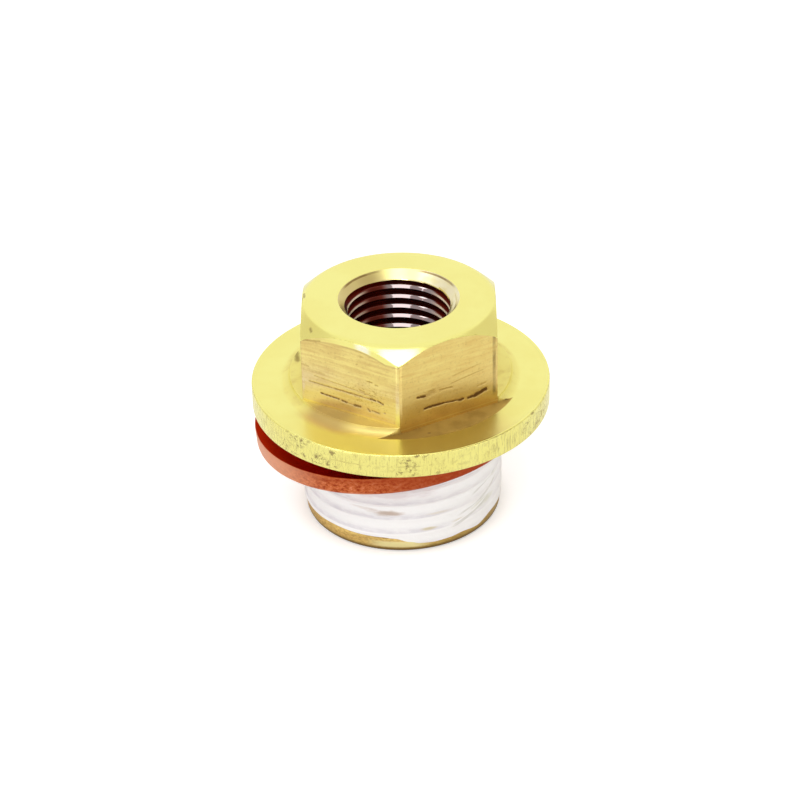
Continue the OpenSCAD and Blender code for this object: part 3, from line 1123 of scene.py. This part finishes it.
class SealingFilm(RoundFinish):
    """White fluoropolymer film: whitest on the ridges, with a faintly lilac painted shade between them,
    see-through in places.
    """

    def __init__(self):
        super().__init__("sealing_film")
        self.wisps = self.grain(6.0, 2.4, 0.0, 5.0, 0.6)
        self.wobble = self.times(self.less(self.wisps, 0.5), 1.6)

    def shade_hollows(self):
        """Painted shade between the ridges, strongest just above each ridge and weaker towards the right."""
        turns = self.times(self.angle, 1 / TURN)
        pitches = self.times(self.less(self.height, FIRST_CREST), 1 / SHANK_PITCH)
        above = self.maths("FRACT", self.less(pitches, turns))
        drawn = self.times(self.ramp(above, 0.07, 0.14), self.ramp(above, 0.15, 0.6, 1.0, 0.05))
        shade = self.times(drawn, self.ramp(self.wisps, 0.3, 0.65, 0.35, 1.0))
        shade = self.times(shade, self.ramp(self.angle, 0.15, 0.8, 1.0, 0.5))
        self.color = self.blend(shade, WHITE, (0.77, 0.75, 0.785, 1))

    def squared(self, value):
        return self.maths("POWER", self.maths("ABSOLUTE", value), 2.0)

    def thin_film_and_shadow_patch(self, degrees, middle, wide, tall, tint, strength):
        off_a = self.times(self.less(self.angle, math.radians(degrees + 90)), 1 / math.radians(wide))
        off_z = self.times(self.less(self.height, middle), 1 / tall)
        away = self.maths("SQRT", self.plus(self.squared(off_a), self.squared(off_z)))
        self.tint(self.ramp(self.plus(away, self.wobble), 0.25, 1.25, strength, 0.0), tint)

    def fold(self, degrees, low, to_degrees, high):
        """A folded edge: a painted shade just below it, a painted white highlight on it."""
        start, end = math.radians(degrees + 90) * TAPE_R, math.radians(to_degrees + 90) * TAPE_R
        share = self.times(self.less(self.times(self.angle, TAPE_R), start), 1 / (end - start))
        over = self.less(self.height, self.plus(low, self.times(share, high - low)))
        over = self.plus(over, self.times(self.wobble, 0.12))
        there = self.band(share, 0.0, 1.0, 0.12)
        below = self.times(self.band(over, -0.3, -0.06, 0.05), 0.7)
        self.tint(self.times(there, below), (0.70, 0.69, 0.66, 1))
        self.tint(self.times(there, self.band(over, -0.03, 0.08, 0.05)), WHITE)

    def done(self):
        fine = self.grain(16.0, 6.0, 3.0, 4.0)
        relief = self.plus(self.times(self.wisps, 0.6), self.times(fine, 0.4))
        return self.shine(self.plus(0.28, self.times(fine, 0.2)), relief, 0.08, Metallic=0.0)


def sealing_film():
    f = SealingFilm()
    f.shade_hollows()
    for patch in THIN_PATCHES_AND_SHADOW:
        f.thin_film_and_shadow_patch(*patch)
    for fold in FOLDS:
        f.fold(*fold)
    return f.done()


# Each piece's finishes, in the order of its material slots
for piece, finishes in (
    (plug, (turned_brass, cut_thread, lit_left_flat, right_flat, plain_flat)),
    (ring, (copper_rim, shaded_copper_face)),
    (tape, (sealing_film,)),
):
    for finish in finishes:
        piece.data.materials.append(finish())

for piece, node, slot in (
    (plug, "plug_body", "brass"),
    (ring, "copper_washer", "copper"),
    (tape, "thread_tape", "tape"),
):
    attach(piece, "root")
    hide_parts(node)


def make_floor():
    """White paper, which the camera sees a little lighter than it is."""
    bm = bmesh.new()
    bmesh.ops.create_grid(bm, x_segments=1, y_segments=1, size=3.0)
    mesh = bpy.data.meshes.new("floor")
    bm.to_mesh(mesh)
    bm.free()
    floor = bpy.data.objects.new("floor", mesh)
    bpy.context.collection.objects.link(floor)
    f = Finish("floor_paper")
    seen = f.node("LightPath").outputs["Is Camera Ray"]
    paper = f.node("BsdfDiffuse", Color=(0.9, 0.9, 0.9, 1))
    glow = f.node("Emission", Color=WHITE, Strength=f.times(seen, 0.4))
    both = f.node("AddShader", i0=paper.outputs[0], i1=glow.outputs[0])
    f.output("ShaderNodeOutputMaterial", both)
    floor.data.materials.append(f.material)


# The lamps: name, place in metres, width, length, watts and the way each faces
LAMPS = (
    ("lamp_middle", (-0.01, -0.32, 0.55), 0.28, 0.28, 0.75, (0, 0, -1)),
    ("lamp_left", (-0.31, -0.125, 0.55), 0.12, 0.13, 0.22, (0, 0, -1)),
    ("low_left", (-0.40, -0.42, 0.08), 0.25, 0.12, 0.17, (0.40, 0.42, -0.07)),
    ("low_right", (0.46, -0.38, 0.08), 0.25, 0.12, 0.21, (-0.46, 0.38, -0.07)),
)


def soft_lamp(name, spot, width, length, watts, facing):
    data = bpy.data.lights.new(name, "AREA")
    data.shape = "RECTANGLE"
    data.size = width
    data.size_y = length
    data.energy = watts
    lamp = bpy.data.objects.new(name, data)
    lamp.location = spot
    lamp.rotation_euler = Vector(facing).to_track_quat("-Z", "Y").to_euler()
    bpy.context.collection.objects.link(lamp)


# The tent's dim stretches: azimuth and height in degrees, inner and outer half width, share lost
TENT_DIMS = (
    (-28, 30, 8, 34, 0.72),
    (153, 28, 12, 32, 0.24),
    (27, 28, 12, 32, 0.24),
    (-25, 52, 6, 24, 0.15),
)


def make_tent():
    """White paper all round, with dimmer, warmer stretches where its folds and its opening are."""
    world = bpy.data.worlds.new("tent")
    bpy.context.scene.world = world
    w = Nodes(world, "Generated")
    level = 1.0
    for azimuth, height, inner, outer, loss in TENT_DIMS:
        a, h = math.radians(azimuth), math.radians(height)
        toward = (math.cos(a) * math.cos(h), math.sin(a) * math.cos(h), math.sin(h))
        near = w.dot(w.place, toward)
        share = w.ramp(near, math.cos(math.radians(outer)), math.cos(math.radians(inner)), 0.0, loss)
        level = w.less(level, share)
    level = w.maths("MAXIMUM", level, 0.0)
    warm = w.joined(w.maths("POWER", level, 0.8), level, w.maths("POWER", level, 1.3))
    seen = w.node("Background", Color=WHITE, Strength=1.0)
    paper = w.node("Background", Color=warm, Strength=1.0)
    camera_ray = w.node("LightPath").outputs["Is Camera Ray"]
    both = w.node("MixShader", i0=camera_ray, i1=paper.outputs[0], i2=seen.outputs[0])
    w.output("ShaderNodeOutputWorld", both)


make_floor()
for lamp in LAMPS:
    soft_lamp(*lamp)
make_tent()
bpy.context.scene.view_settings.view_transform = "Standard"
